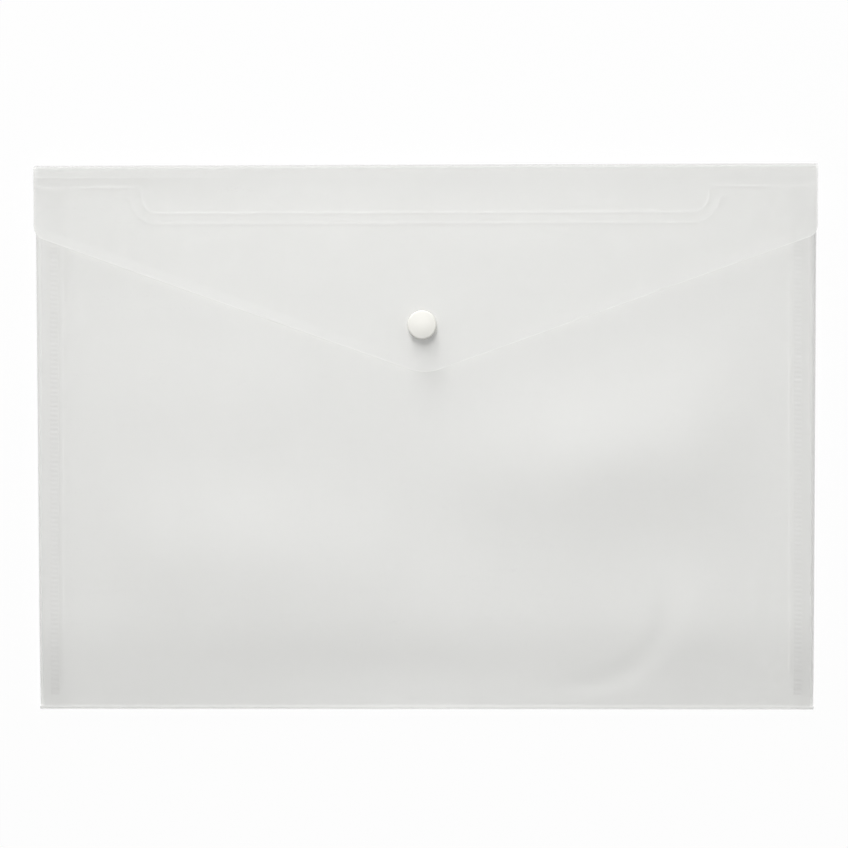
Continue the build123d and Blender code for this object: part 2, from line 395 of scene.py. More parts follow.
class Nodes:
    """Adds the nodes of one material or world."""

    def __init__(self, owner):
        owner.use_nodes = True
        self.tree = owner.node_tree
        self.tree.nodes.clear()

    def add(self, kind, settings=None, sockets=None, output=0):
        """A node of that kind, with its settings, then the values or links of its sockets.

        Gives one of its outputs.
        """
        node = self.tree.nodes.new(kind)
        for name, value in (settings or {}).items():
            setattr(node, name, value)
        for name, value in (sockets or {}).items():
            if isinstance(value, Wire):
                self.tree.links.new(value.socket, node.inputs[name])
            else:
                node.inputs[name].default_value = value
        return Wire(self, node.outputs[output]) if node.outputs else None

    def mix_colours(self, factor, first, second):
        return self.add("ShaderNodeMix", {"data_type": "RGBA"}, {0: factor, 6: first, 7: second}, 2)

    def noise(self, place, scale, detail):
        """Noise from 0 to 1, scale lumps to the metre."""
        sockets = {"Vector": place, "Scale": scale, "Detail": detail}
        return self.add("ShaderNodeTexNoise", None, sockets, "Fac")

    def mark(self, name):
        """A mark that a piece's points carry, from 0 to 1."""
        return self.add("ShaderNodeAttribute", {"attribute_name": name}, output="Fac")


def opaque(colour, share=1.0):
    """A colour with alpha 1, lightened or darkened by a share."""
    return (*(min(1.0, part * share) for part in colour), 1.0)


def film(name):
    """The film finish of that name, made once.

    Frosted polypropylene: milky and see-through, with a fine frost and faint rolling marks. Its cut
    edges are paler, partly milky film and partly a painted highlight, and its creases are whitened,
    partly by the fold and partly by painted light. In the flap's fold painted shade darkens it where
    it stands upright, and it passes into the back film. Lamps shine through it more than the eye
    sees through it.
    """
    if name in bpy.data.materials:
        return bpy.data.materials[name]
    tone, opacity = FILMS[name]
    back = FILMS["back_film"]
    finish = bpy.context.scene.wallet_finish
    cloud_lumps, frost_lumps, rolling_lumps = 26.0, 2600.0, (40.0, 420.0, 40.0)  # to the metre
    cloud_tone = 0.015
    crease_white = 0.3
    frost_rough, rolling_rough, crease_rough = 0.12, 0.06, 0.35
    even_rough = finish.film_roughness - (frost_rough + rolling_rough) / 2
    material = bpy.data.materials.new(name)
    nodes = Nodes(material)
    place = nodes.add("ShaderNodeTexCoord", output="Object")
    edge, crease = nodes.mark("cut_edge"), nodes.mark("crease")
    share, bend = nodes.mark("back_share"), nodes.mark("bend")
    cloud = nodes.noise(place, cloud_lumps, 2.0)
    frost = nodes.noise(place, frost_lumps, 2.0)
    stretched = nodes.add("ShaderNodeMapping", None, {"Vector": place, "Scale": rolling_lumps})
    rolling = nodes.noise(stretched, 1.0, 3.0)
    dark, light = (opaque(finish.film_colour, tone * (1 + part)) for part in (-cloud_tone, cloud_tone))
    milk = nodes.mix_colours(cloud, dark, light)
    # The fold's lower half takes the back film's darker tone, painted shade like the other tones
    milk = nodes.mix_colours(share, milk, opaque(finish.film_colour, back.tone))
    # Painted shade on the upright wall of the flap's fold
    milk = nodes.mix_colours(bend * finish.bend_shade, milk, opaque((0, 0, 0)))
    # Crease mark: partly whitening of the film at folds, partly painted light on the front's lower slope
    # and the gussets' outer lines
    folded = nodes.mix_colours(crease * crease_white, milk, opaque(finish.crease_colour))
    # Cut edges: partly milky film, partly a painted highlight standing in for the light they catch
    colour = nodes.mix_colours(edge, folded, opaque(finish.edge_colour))
    rough = frost * frost_rough + rolling * rolling_rough + crease * crease_rough + even_rough
    bump = nodes.add(
        "ShaderNodeBump", None,
        {"Strength": 0.35, "Distance": 0.00004, "Height": frost * 0.5 + rolling * 0.8}, "Normal",
    )
    alpha = edge * (finish.edge_opacity - opacity) + share * (back.opacity - opacity) + opacity
    milky = nodes.add(
        "ShaderNodeBsdfPrincipled", None,
        {"Base Color": colour, "Roughness": rough, "Alpha": alpha, "Normal": bump, "IOR": 1.49},
    )
    shade = nodes.add("ShaderNodeLightPath", output="Is Shadow Ray")
    lit = nodes.add("ShaderNodeBsdfTransparent", None, {"Color": opaque((1, 1, 1), finish.film_light)})
    surface = nodes.add("ShaderNodeMixShader", None, {0: shade, 1: milky, 2: lit})
    nodes.add("ShaderNodeOutputMaterial", None, {"Surface": surface})
    return material


def snap_finish():
    """Moulded ivory plastic: satin, with faint flow clouds and a fine grain."""
    name = "snap_ivory"
    if name in bpy.data.materials:
        return bpy.data.materials[name]
    tint = bpy.context.scene.wallet_finish.snap_colour
    flow_lumps, grain_lumps = 260.0, 5200.0  # to the metre
    dark, light = opaque(tint, 0.975), opaque(tint, 1.02)
    grain_rough, flow_rough, even_rough = 0.1, 0.06, 0.27
    material = bpy.data.materials.new(name)
    nodes = Nodes(material)
    place = nodes.add("ShaderNodeTexCoord", output="Object")
    flow = nodes.noise(place, flow_lumps, 3.0)
    grain = nodes.noise(place, grain_lumps, 2.0)
    colour = nodes.mix_colours(flow, dark, light)
    rough = grain * grain_rough + flow * flow_rough + even_rough
    bump = nodes.add(
        "ShaderNodeBump", None, {"Strength": 0.25, "Distance": 0.00002, "Height": grain + flow}, "Normal"
    )
    plastic = nodes.add(
        "ShaderNodeBsdfPrincipled", None,
        {"Base Color": colour, "Roughness": rough, "Normal": bump, "IOR": 1.5},
    )
    nodes.add("ShaderNodeOutputMaterial", None, {"Surface": plastic})
    return material


def smooth_step(value, low, high):
    """Rises smoothly from 0 at low to 1 at high."""
    t = np.clip((value - low) / (high - low), 0, 1)
    return t * t * (3 - 2 * t)


def unit(vectors):
    """Vectors of length 1 in the same directions."""
    length = np.linalg.norm(vectors, axis=-1, keepdims=True)
    return vectors / np.maximum(length, 1e-12)


def height_sheet(x, y, height):
    """Grid points and unit normals of the surface z = height(x, y), from its slopes along x and y."""
    step = SLOPE_STEP
    slope_x = (height(x + step, y) - height(x - step, y)) / (2 * step)
    slope_y = (height(x, y + step) - height(x, y - step)) / (2 * step)
    points = np.stack([x, y, height(x, y)], axis=-1)
    return points, unit(np.stack([-slope_x, -slope_y, np.ones_like(x)], axis=-1))


def grid_quads(rows, columns):
    """Quads of a grid of points that is numbered row by row.

    They face the side from which columns run right and rows run up.
    """
    corner = (np.arange(rows - 1)[:, None] * columns + np.arange(columns - 1)).ravel()
    return np.stack([corner, corner + 1, corner + columns + 1, corner + columns], axis=-1)


def rim_loop(rows, columns):
    """Numbers of a grid's edge points in turn: first row, last column, last row, first column."""
    number = np.arange(rows * columns).reshape(rows, columns)
    return np.concatenate([number[0, :-1], number[:-1, -1], number[-1, :0:-1], number[:0:-1, 0]])


def closed_sheet(middle, normals, rounded, cut_edge=0.0, **others):
    """Points, quads and marks of a closed film round a grid of middle points.

    Its faces lie half the film's thickness to both sides along the normals. A cut edge with softened
    corners, a superellipse across the film, closes the sides named in rounded, in the order first
    row, last column, last row, first column. The other sides end flat on the grid's edge.
    The marks say from 0 to 1 how much of a cut edge each point is, and how much of the others: a
    crease, the bend of the flap's fold and the back sheet.
    """
    rows, columns = middle.shape[:2]
    count = rows * columns
    points, up = middle.reshape(-1, 3), normals.reshape(-1, 3)
    loop = rim_loop(rows, columns)
    after = np.repeat(np.array(rounded, float), (columns - 1, rows - 1, columns - 1, rows - 1))[:, None]
    before = np.roll(after, 1, axis=0)
    ahead = unit(np.roll(points[loop], -1, axis=0) - points[loop])
    along = ahead * after + np.roll(ahead, 1, axis=0) * before
    bulge = np.maximum(after, before)
    outward = unit(np.cross(along, up[loop])) * bulge
    turn = np.linspace(np.pi / 2, -np.pi / 2, RIM_STEPS + 1)[1:-1]
    reach, lift = fold_outline(turn, FILM / 2, RIM_SQUARE)[0].T[:, :, None, None]
    rings = points[loop] + lift * up[loop] + reach * outward
    vertices = np.concatenate([points + FILM / 2 * up, points - FILM / 2 * up, rings.reshape(-1, 3)])
    ring_numbers = 2 * count + np.arange(rings.shape[0] * loop.size).reshape(-1, loop.size)
    bands = np.concatenate([loop[None], ring_numbers, loop[None] + count])
    faces = grid_quads(rows, columns)
    quads = np.concatenate([faces, faces[:, ::-1] + count, band_quads(bands)])
    marks = {}
    for name, mark in {"cut_edge": cut_edge, **others}.items():
        mark = np.broadcast_to(mark, (rows, columns)).ravel()
        # Painted light: a rim's faces take twice the edge mark, so rims facing away from the lamps read
        # lighter
        rim = bulge.ravel() * np.minimum(2 * mark[loop], 1) if name == "cut_edge" else mark[loop]
        marks[name] = np.concatenate([mark, mark, np.tile(rim, rings.shape[0])])
    return vertices, quads, marks


def band_quads(bands):
    """Quads between rings of point numbers, each ring closed and the next one below it."""
    upper, lower = bands[:-1], bands[1:]
    corners = [upper, lower, np.roll(lower, -1, axis=1), np.roll(upper, -1, axis=1)]
    return np.stack(corners, axis=-1).reshape(-1, 4)


def closed_block(top, bottom):
    """Points and quads of the body between a top grid and a bottom grid, with flat sides."""
    rows, columns = top.shape[:2]
    loop = rim_loop(rows, columns)
    faces = grid_quads(rows, columns)
    count = rows * columns
    sides = band_quads(np.stack([loop, loop + count]))
    vertices = np.concatenate([top.reshape(-1, 3), bottom.reshape(-1, 3)])
    return vertices, np.concatenate([faces, faces[:, ::-1] + count, sides])


def add_piece(name, vertices, faces, material, slot, nodes, marks=None):
    """A smooth mesh piece at the origin that stands for CAD nodes, with its marks as attributes."""
    mesh = bpy.data.meshes.new(name)
    mesh.from_pydata(vertices.tolist(), [], faces.tolist() if isinstance(faces, np.ndarray) else faces)
    for mark, values in (marks or {}).items():
        data = mesh.attributes.new(mark, "FLOAT", "POINT").data
        data.foreach_set("value", np.asarray(values, np.float32))
    mesh.shade_smooth()
    mesh.set_sharp_from_angle(angle=SHARP_ANGLE)
    mesh.materials.append(material)
    piece = bpy.data.objects.new(name, mesh)
    bpy.context.scene.collection.objects.link(piece)
    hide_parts(*nodes)
    return piece


def edge_mark(distance, width=EDGE_ROW):
    """1 on a cut edge, falling to 0 at a width from it."""
    return np.clip(1 - distance / width, 0, 1)


def rise_arc():
    """Length of the front's rise, and the radius of its arc: the sum of the squared length and the
    front's height times its swell, over twice the swell.
    """
    rise = bpy.context.scene.wallet_sizes.front_rise
    swell = FRONT_TOP - 2 * BOTTOM_RADIUS
    return rise, (rise**2 + FRONT_TOP * swell) / (2 * swell)


def front_height(y, depth):
    """Height of the surface that lies a depth under the front's outside.

    It is level from the mouth down to the rise, and from there an arc that is tangent to the level
    part and to the bottom fold.
    """
    rise, radius = rise_arc()
    back = np.maximum(BOTTOM_Y + rise - y, 0)
    return FRONT_TOP - radius + np.sqrt((radius - depth) ** 2 - back**2)


def rise_angle():
    """Angle at which the front leaves the bottom fold."""
    rise, radius = rise_arc()
    return math.atan2(rise, radius - FRONT_TOP + BOTTOM_RADIUS)


def front_bow(x, y):
    """Slow bows of the empty front: bell-shaped swells, none at the welds, folds and snap."""
    sizes = bpy.context.scene.wallet_sizes
    total = np.zeros_like(x)
    for bow in FRONT_BOWS:
        along = (x - bow.x) * math.cos(bow.turn) + (y - bow.y) * math.sin(bow.turn)
        across = (y - bow.y) * math.cos(bow.turn) - (x - bow.x) * math.sin(bow.turn)
        bell = np.exp(-((along / bow.long) ** 2) - (across / bow.wide) ** 2)
        total += sizes.bow_height * bow.share * bell
    free = smooth_step(PANEL_HALF - np.abs(x), *BOW_FROM_SIDE)
    free = free * smooth_step(y - BOTTOM_Y, *BOW_FROM_BOTTOM) * smooth_step(MOUTH_Y - y, *BOW_FROM_MOUTH)
    return total * free * smooth_step(np.hypot(x - SNAP_X, y - SNAP_Y), *BOW_FROM_SNAP)


def front_buckle(x, y):
    """A curved buckle at the front's lower right: a bell-shaped valley along an arc, which deepens and
    fades out between bearings from the arc's centre.
    """
    buckle_x, buckle_y, radius, half_width = 0.0627, -0.0649, 0.0422, 0.0055
    deepens, fades = (-2.2, -1.1), (-0.5, 0.15)
    ring = np.hypot(x - buckle_x, y - buckle_y) - radius
    bearing = np.arctan2(y - buckle_y, x - buckle_x)
    stretch = smooth_step(bearing, *deepens) * (1 - smooth_step(bearing, *fades))
    stretch = stretch * smooth_step(y - BOTTOM_Y, *BUCKLE_FROM_BOTTOM)
    return -bpy.context.scene.wallet_sizes.buckle_depth * stretch * np.exp(-((ring / half_width) ** 2))


def whitening_and_painted_light(x):
    """How far the bottom crease is lightened along x: a bell over an even share, highest in the middle.
    Partly the film's whitening at the crease and partly painted light, the bell a painted highlight.
    """
    extra, half_width = 1.4, 0.060
    bell = np.exp(-((x / half_width) ** 2))
    return bpy.context.scene.wallet_sizes.bottom_crease * (1 + extra * bell)


def mouth_beads(x, y):
    """From 0 to 1 along the mouth's two embossed beads, one at its edge and one further in.

    The distance from the mouth's edge is the smooth least of the distance from the thumb cut, which
    is a slot with round corners, and the distance from the straight lips. Each bead is a bell of it.
    """
    sizes = bpy.context.scene.wallet_sizes
    corner, blend = sizes.cut_corner, 0.0006
    beside = np.abs(x) - (sizes.cut_width / 2 - corner)
    below = MOUTH_Y - sizes.cut_depth + corner - y
    from_cut = np.hypot(np.maximum(beside, 0), np.maximum(below, 0)) - corner
    from_cut = from_cut + np.minimum(np.maximum(beside, below), 0)
    distance = -blend * np.logaddexp(-from_cut / blend, (y - MOUTH_Y) / blend)
    first = np.exp(-(((distance - sizes.edge_bead) / sizes.bead_width) ** 2))
    second = np.exp(-(((distance - sizes.inner_bead) / sizes.bead_width) ** 2))
    first = first * (1 - smooth_step(np.abs(x), *EDGE_BEAD_FROM_MIDDLE))
    return first + second * (1 - smooth_step(np.abs(x) - sizes.cut_width / 2, *INNER_BEAD_FROM_CUT))


def mouth_outline(inset):
    """x and y of the front's top edge on the right half, from the middle to the side, moved in by inset.

    The thumb cut's floor, its inner rounding, its outer rounding and the straight lip follow each other.
    """
    sizes = bpy.context.scene.wallet_sizes
    half, lean = sizes.cut_width / 2, 0.0001
    corner, lip = sizes.cut_corner + inset, sizes.cut_lip - inset
    floor_y, top_y = MOUTH_Y - sizes.cut_depth - inset, MOUTH_Y - inset
    turn = np.linspace(0, np.pi / 2, CORNER_STEPS)
    inner = half - sizes.cut_corner
    outer = half + sizes.cut_lip
    floor_x = np.linspace(0, inner, 64)[:-1]
    bead_end = outer + sizes.inner_bead
    side = PANEL_HALF - inset - EDGE_ROW
    lip_x = np.concatenate([np.linspace(outer, bead_end, 15)[1:], np.linspace(bead_end, side, 24)[1:]])
    x = np.concatenate(
        [
            floor_x,
            inner + (corner - lean) * np.sin(turn),
            outer - lip * np.cos(turn),
            lip_x,
            [PANEL_HALF - inset],
        ]
    )
    y = np.concatenate(
        [
            np.full(floor_x.size, floor_y),
            floor_y + corner * (1 - np.cos(turn)),
            top_y - lip * (1 - np.sin(turn)),
            np.full(lip_x.size + 1, top_y),
        ]
    )
    return x, y


def both_halves(x, y):
    """An outline from the middle to the right, with its mirror image before it."""
    return np.concatenate([-x[:0:-1], x]), np.concatenate([y[:0:-1], y])


def flap_outline(inset):
    """x and y of the V's edge on the right half, from the tip to the side, moved in by inset.

    The rounded tip, the straight edge and the rounded corner are tangent to each other.
    """
    sizes = bpy.context.scene.wallet_sizes
    angle = sizes.flap_angle
    tip, corner = sizes.flap_tip - inset, sizes.flap_corner - inset
    tip_turn = np.linspace(0, angle, 8)
    tip_x = tip * np.sin(tip_turn)
    tip_y = FLAP_TIP_Y + inset + tip * (1 - np.cos(tip_turn))
    centre_x = HALF_WIDTH - sizes.flap_corner
    slope = math.tan(angle)
    centre_y = tip_y[-1] + (centre_x - tip_x[-1]) * slope + corner / math.cos(angle)
    corner_turn = np.linspace(angle - np.pi / 2, 0, 10)
    corner_x = centre_x + corner * np.cos(corner_turn)
    corner_y = centre_y + corner * np.sin(corner_turn)
    cut_side, past_cut = sizes.cut_width / 2, 0.007
    cut_x = np.linspace(cut_side - sizes.cut_corner, cut_side + past_cut, 34)
    edge_x = np.unique(np.concatenate([np.linspace(tip_x[-1], corner_x[0], 76)[1:-1], cut_x]))
    edge_y = tip_y[-1] + (edge_x - tip_x[-1]) * slope
    return np.concatenate([tip_x, edge_x, corner_x]), np.concatenate([tip_y, edge_y, corner_y])


def flap_edge_y(x):
    """y of the V's edge under x: the tip's circle in the middle and the straight edges beside it."""
    sizes = bpy.context.scene.wallet_sizes
    tip, angle = sizes.flap_tip, sizes.flap_angle
    across = np.abs(x)
    inside = np.minimum(across, tip * math.sin(angle))
    return FLAP_TIP_Y + tip - np.sqrt(tip**2 - inside**2) + (across - inside) * math.tan(angle)


def flap_height(x, y):
    """Middle of the flap: held up at the fold and by the snap, sinking between them and at the side
    corners, with a rim along the V's edges that curls up and the faint print of the mouth's beads.
    """
    sizes = bpy.context.scene.wallet_sizes
    fold_reach, rim_power, steep = 0.024, 1.15, 0.6
    free = 1 - np.clip(1 - (FOLD_Y - y) / fold_reach, 0, 1) ** 3
    droop = np.where(x < 0, sizes.left_droop, sizes.right_droop)
    droop = droop * smooth_step(np.abs(x), *DROOP_FROM_MIDDLE)
    from_snap = np.hypot(x - SNAP_X, y - SNAP_Y)
    fall = steep * smooth_step(from_snap, *STEEP_FROM_SNAP)
    fall = fall + (1 - steep) * smooth_step(from_snap, *GENTLE_FROM_SNAP)
    rim = np.clip(1 - (y - flap_edge_y(x)) * math.cos(sizes.flap_angle) / sizes.rim_width, 0, 1)
    curl = np.where(x < 0, sizes.left_curl, sizes.right_curl) * smooth_step(np.abs(x), *CURL_FROM_MIDDLE)
    sunk = (droop + sizes.snap_fall * fall) * free
    return FLAP_TOP - FILM / 2 - sunk + curl * rim**rim_power + sizes.mouth_print * mouth_beads(x, y)


def fold_outline(turn, radius, power):
    """Offsets from a fold's centre line and unit normals round it, each as outward and upward parts.

    The outline is a superellipse: the powers of both offsets over the radius add up to 1.
    """
    round_way = np.stack([np.cos(turn), np.sin(turn)], axis=-1)
    size = np.abs(round_way)
    offset = radius * round_way / (size**power).sum(axis=-1, keepdims=True) ** (1 / power)
    return offset, unit(np.sign(round_way) * size ** (power - 1))


def fold_sheet(x, centre_y, centre_z, offset, normal, **marks):
    """Points, quads and marks of a fold of film along x, whose grid has its rows round the fold."""
    shape = (offset.shape[0], x.size)
    parts = (*offset.T, *normal.T)
    out, up, normal_out, normal_up = (np.broadcast_to(part[:, None], shape) for part in parts)
    points = np.stack([np.broadcast_to(x, shape), centre_y + out, centre_z + up], axis=-1)
    normals = np.stack([np.zeros(shape), normal_out, normal_up], axis=-1)
    return closed_sheet(points, normals, (False, True, False, True), **marks)


def side_pair(build):
    """Calls build for the right side and the left side, with the sign of x."""
    return [build(name, sign) for name, sign in (("right", 1), ("left", -1))]


class WALLET_OT_back_sheet(Operator):
    """Lay the flat back sheet, with its wider shoulder at the flap's fold"""

    bl_idname = "wallet.back_sheet"
    bl_label = "Back sheet"

    def execute(self, context):
        shoulder_gap, shoulder_step = 0.0008, 0.00005
        shoulder_y = MOUTH_Y + shoulder_gap
        low = np.linspace(BOTTOM_Y, shoulder_y, 40)
        high = np.linspace(shoulder_y + shoulder_step, FOLD_Y, 6)
        y = np.concatenate([low, high])
        half = np.concatenate([np.full(low.size, PANEL_HALF), np.full(high.size, HALF_WIDTH)])
        x = np.linspace(-1, 1, 61)[None, :] * half[:, None]
        y = np.broadcast_to(y[:, None], x.shape)
        points, normals = height_sheet(x, y, lambda a, b: np.full(a.shape, FILM / 2))
        vertices, quads, marks = closed_sheet(points, normals, (False, False, False, False))
        piece = add_piece("back_sheet", vertices, quads, film("back_film"), "film", ["back_panel"], marks)
        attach(piece, "back")
        return {"FINISHED"}


class WALLET_OT_bottom_fold(Operator):
    """Round the film over from the back to the front at the bottom"""

    bl_idname = "wallet.bottom_fold"
    bl_label = "Bottom fold"

    def execute(self, context):
        turn = np.linspace(1.5 * np.pi, 0.5 * np.pi + rise_angle(), 41)
        power = context.scene.wallet_sizes.bottom_fold_square
        offset, normal = fold_outline(turn, BOTTOM_RADIUS - FILM / 2, power)
        reach = BOTTOM_REACH - FILM / 2
        along = np.linspace(-reach, reach, LONG_STEPS)
        # Crease whitening and painted light along the bottom fold, highest in the middle
        crease = whitening_and_painted_light(along)
        vertices, quads, marks = fold_sheet(along, BOTTOM_Y, BOTTOM_RADIUS, offset, normal, crease=crease)
        material = film("front_film")
        piece = add_piece("bottom_fold_film", vertices, quads, material, "film", ["bottom_fold"], marks)
        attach(piece, "back")
        return {"FINISHED"}


class WALLET_OT_front_sheet(Operator):
    """Swell the front sheet out of the bottom fold up to the mouth with its thumb cut"""

    bl_idname = "wallet.front_sheet"
    bl_label = "Front sheet"

    def execute(self, context):
        x, top = both_halves(*mouth_outline(FILM / 2))
        angle = rise_angle()
        low_y = BOTTOM_Y + BOTTOM_RADIUS * math.cos(0.5 * math.pi + angle) + FILM / 2 * math.sin(angle)
        inner_rows = np.linspace(0.0078, 0.0030, 13)
        edge_rows = [0.0024, 0.0018, 0.0013, 2 * EDGE_ROW, EDGE_ROW, 0]
        near = np.concatenate([inner_rows, edge_rows])
        share = np.linspace(0, 1, 130)[:-1, None]
        y = np.concatenate([low_y + share * (top - near[0] - low_y), top - near[:, None]])
        x = np.broadcast_to(x, y.shape)
        points, normals = height_sheet(x, y, self.height)
        edge = MOUTH_EDGE * edge_mark(top - y, 2 * EDGE_ROW)
        # Crease whitening and painted light on the front's lower slope beside the bottom fold
        crease = whitening_and_painted_light(x) * (1 - smooth_step(y - BOTTOM_Y, *WHITE_FROM_BOTTOM))
        rounded = (False, True, True, True)
        vertices, quads, marks = closed_sheet(points, normals, rounded, cut_edge=edge, crease=crease)
        material = film("front_film")
        piece = add_piece("front_sheet", vertices, quads, material, "film", ["front_panel"], marks)
        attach(piece, "front")
        return {"FINISHED"}

    def height(self, x, y):
        """Middle of the front: its level part and rise, with bows, the buckle and the mouth's beads."""
        beads = bpy.context.scene.wallet_sizes.mouth_bead * mouth_beads(x, y)
        return front_height(y, FILM / 2) + front_bow(x, y) + front_buckle(x, y) + beads


class WALLET_OT_side_gussets(Operator):
    """Bend the side gussets outwards between the back and the hems"""

    bl_idname = "wallet.side_gussets"
    bl_label = "Side gussets"

    def execute(self, context):
        side_pair(self.gusset)
        return {"FINISHED"}

    def gusset(self, side, sign):
        """An arc through the back's edge, the outermost line and the hem's edge, carried upwards."""
        sizes = bpy.context.scene.wallet_sizes
        fold_gap = 0.00005
        low = BOTTOM_Y + FILM / 2 + fold_gap
        y = np.linspace(low, MOUTH_Y - FILM / 2, LONG_STEPS)[::sign][None, :]
        chord = front_height(y, FILM + sizes.weld_gap) - FILM
        climb = (y - GUSSET_LOW_Y) / (MOUTH_Y - GUSSET_LOW_Y)
        bulge = sizes.low_bulge + (GUSSET_REACH - PANEL_HALF - sizes.low_bulge) * climb - FILM / 2
        radius = (chord**2 / 4 + bulge**2) / (2 * bulge)
        half_turn = np.arctan2(chord / 2, radius - bulge)
        turn = np.linspace(-1, 1, 21)[:, None] * half_turn
        x = PANEL_HALF + bulge - radius * (1 - np.cos(turn))
        z = FILM / 2 + chord / 2 + radius * np.sin(turn)
        points = np.stack([sign * x, np.broadcast_to(y, x.shape), z], axis=-1)
        normals = np.stack([sign * np.cos(turn), np.zeros_like(turn), np.sin(turn)], axis=-1)
        # Partly crease whitening, partly painted light on the gusset's outermost line, where little lamp
        # light falls
        crease = np.cos(np.pi / 2 * turn / half_turn) ** 2
        vertices, quads, marks = closed_sheet(points, normals, (False, True, False, True), crease=crease)
        material = film("gusset_film")
        node = f"{side}_side_gusset"
        piece = add_piece(f"{side}_gusset_film", vertices, quads, material, "film", [node], marks)
        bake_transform(piece)


class WALLET_OT_hems(Operator):
    """Lay the gussets' hems under the front's margins"""

    bl_idname = "wallet.hems"
    bl_label = "Hems"

    def execute(self, context):
        side_pair(self.hem)
        return {"FINISHED"}

    def hem(self, side, sign):
        """A strip parallel to the front's underside, whose lower end is cut back towards its inner edge."""
        sizes = bpy.context.scene.wallet_sizes
        depth = 1.5 * FILM + sizes.weld_gap
        inner = HEM_INNER_X + FILM / 2
        x = np.concatenate([[inner], np.linspace(inner + EDGE_ROW, PANEL_HALF, 9)])
        low = HEM_LOW_Y + FILM / 2 + (PANEL_HALF - x) * math.tan(sizes.hem_mitre)
        x, low = (sign * x)[::sign], low[::sign]
        high = MOUTH_Y - FILM / 2
        share = np.concatenate([[0], np.linspace(EDGE_ROW / (high - low.min()), 1, 100)])[:, None]
        y = low + share * (high - low)
        x = np.broadcast_to(x, y.shape)
        points, normals = height_sheet(x, y, lambda a, b: front_height(b, depth))
        distance = np.minimum(np.abs(x) - inner, np.minimum(y - low, high - y))
        rounded = (True, sign < 0, True, sign > 0)
        edge = MOUTH_EDGE * edge_mark(distance)
        vertices, quads, marks = closed_sheet(points, normals, rounded, cut_edge=edge)
        material = film("hem_film")
        piece = add_piece(f"{side}_hem", vertices, quads, material, "film", [f"{side}_weld_strip"], marks)
        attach(piece, "front")


class WALLET_OT_weld_seams(Operator):
    """Press the knurled weld bands along the front's margins"""

    bl_idname = "wallet.weld_seams"
    bl_label = "Weld seams"

    def execute(self, context):
        side_pair(self.seam)
        return {"FINISHED"}

    def seam(self, side, sign):
        """A thin band on the front whose ribs are raised cosines along it, rounded off at their ends."""
        sizes = bpy.context.scene.wallet_sizes
        low, high = WELD_Y
        ribs = round((high - low) / sizes.rib_pitch)
        rib_steps, end_power = 8, 6
        y = np.linspace(low, high, ribs * rib_steps + 1)[:, None]
        part = np.linspace(-1, 1, 13)[None, :]
        middle, half = (WELD_X[0] + WELD_X[1]) / 2, (WELD_X[1] - WELD_X[0]) / 2
        x = sign * middle + part * half
        x, y = np.broadcast_arrays(x, y)
        wave = (1 - np.cos(2 * np.pi * ribs * (y - low) / (high - low))) / 2
        rib = sizes.weld_rib * wave * np.clip(1 - part**end_power, 0, 1)
        seat = front_height(y, -sizes.weld_seat)
        band = front_height(y, -(sizes.weld_seat + sizes.weld_band)) + rib
        shell = closed_block(np.stack([x, y, band], axis=-1), np.stack([x, y, seat], axis=-1))
        piece = add_piece(f"{side}_weld_knurl", *shell, film("weld_film"), "film", [f"{side}_weld_seam"])
        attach(piece, "front")


class WALLET_OT_flap_fold(Operator):
    """Round the film over from the back to the flap at the top"""

    bl_idname = "wallet.flap_fold"
    bl_label = "Flap fold"

    def execute(self, context):
        turn = np.linspace(-0.5 * np.pi, 0.5 * np.pi, 81)
        power = context.scene.wallet_sizes.flap_fold_square
        radius = FLAP_FOLD_RADIUS - FILM / 2
        offset, normal = fold_outline(turn, radius, power)
        crown = np.clip(offset[:, 1] / radius, 0, 1)
        offset[:, 1] += context.scene.wallet_sizes.fold_lift * crown * offset[:, 0] / radius
        reach = HALF_WIDTH - FILM / 2
        along = np.linspace(reach, -reach, LONG_STEPS)
        back_ends = (-1.1, -0.4)
        # bend marks the fold's upright wall for painted shade; back_share passes the lower half into the
        # back film
        looks = {"back_share": 1 - smooth_step(turn[:, None], *back_ends), "bend": normal[:, :1] ** 4}
        vertices, quads, marks = fold_sheet(along, FOLD_Y, FLAP_FOLD_RADIUS, offset, normal, **looks)
        material = film("flap_film")
        piece = add_piece("flap_fold_film", vertices, quads, material, "film", ["flap_fold"], marks)
        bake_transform(piece)
        return {"FINISHED"}


class WALLET_OT_flap_sheet(Operator):
    """Lay the V flap over the front"""

    bl_idname = "wallet.flap_sheet"
    bl_label = "Flap sheet"

    def execute(self, context):
        x, low = both_halves(*flap_outline(FILM / 2))
        near = np.array([0, EDGE_ROW, 0.001, 0.002, 0.003, 0.0038, 0.0043, 0.0048, 0.006])[:, None]
        widest, most = 0.022, 0.85
        close = low + near
        band = np.minimum(widest, most * (FOLD_Y - close[-1]))
        share = np.linspace(0, 1, 36)[1:, None]
        fine = np.linspace(1, 0, 64)[1:, None]
        y = np.concatenate([close, close[-1] + share * (FOLD_Y - band - close[-1]), FOLD_Y - fine * band])
        x = np.broadcast_to(x, y.shape)
        points, normals = height_sheet(x, y, flap_height)
        from_edge = (y - low) * math.cos(context.scene.wallet_sizes.flap_angle)
        distance = np.minimum(HALF_WIDTH - FILM / 2 - np.abs(x), from_edge)
        rounded = (True, True, False, True)
        edge = V_EDGE * edge_mark(distance)
        vertices, quads, marks = closed_sheet(points, normals, rounded, cut_edge=edge)
        piece = add_piece("flap_sheet", vertices, quads, film("flap_film"), "film", ["flap"], marks)
        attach(piece, "flap")
        return {"FINISHED"}


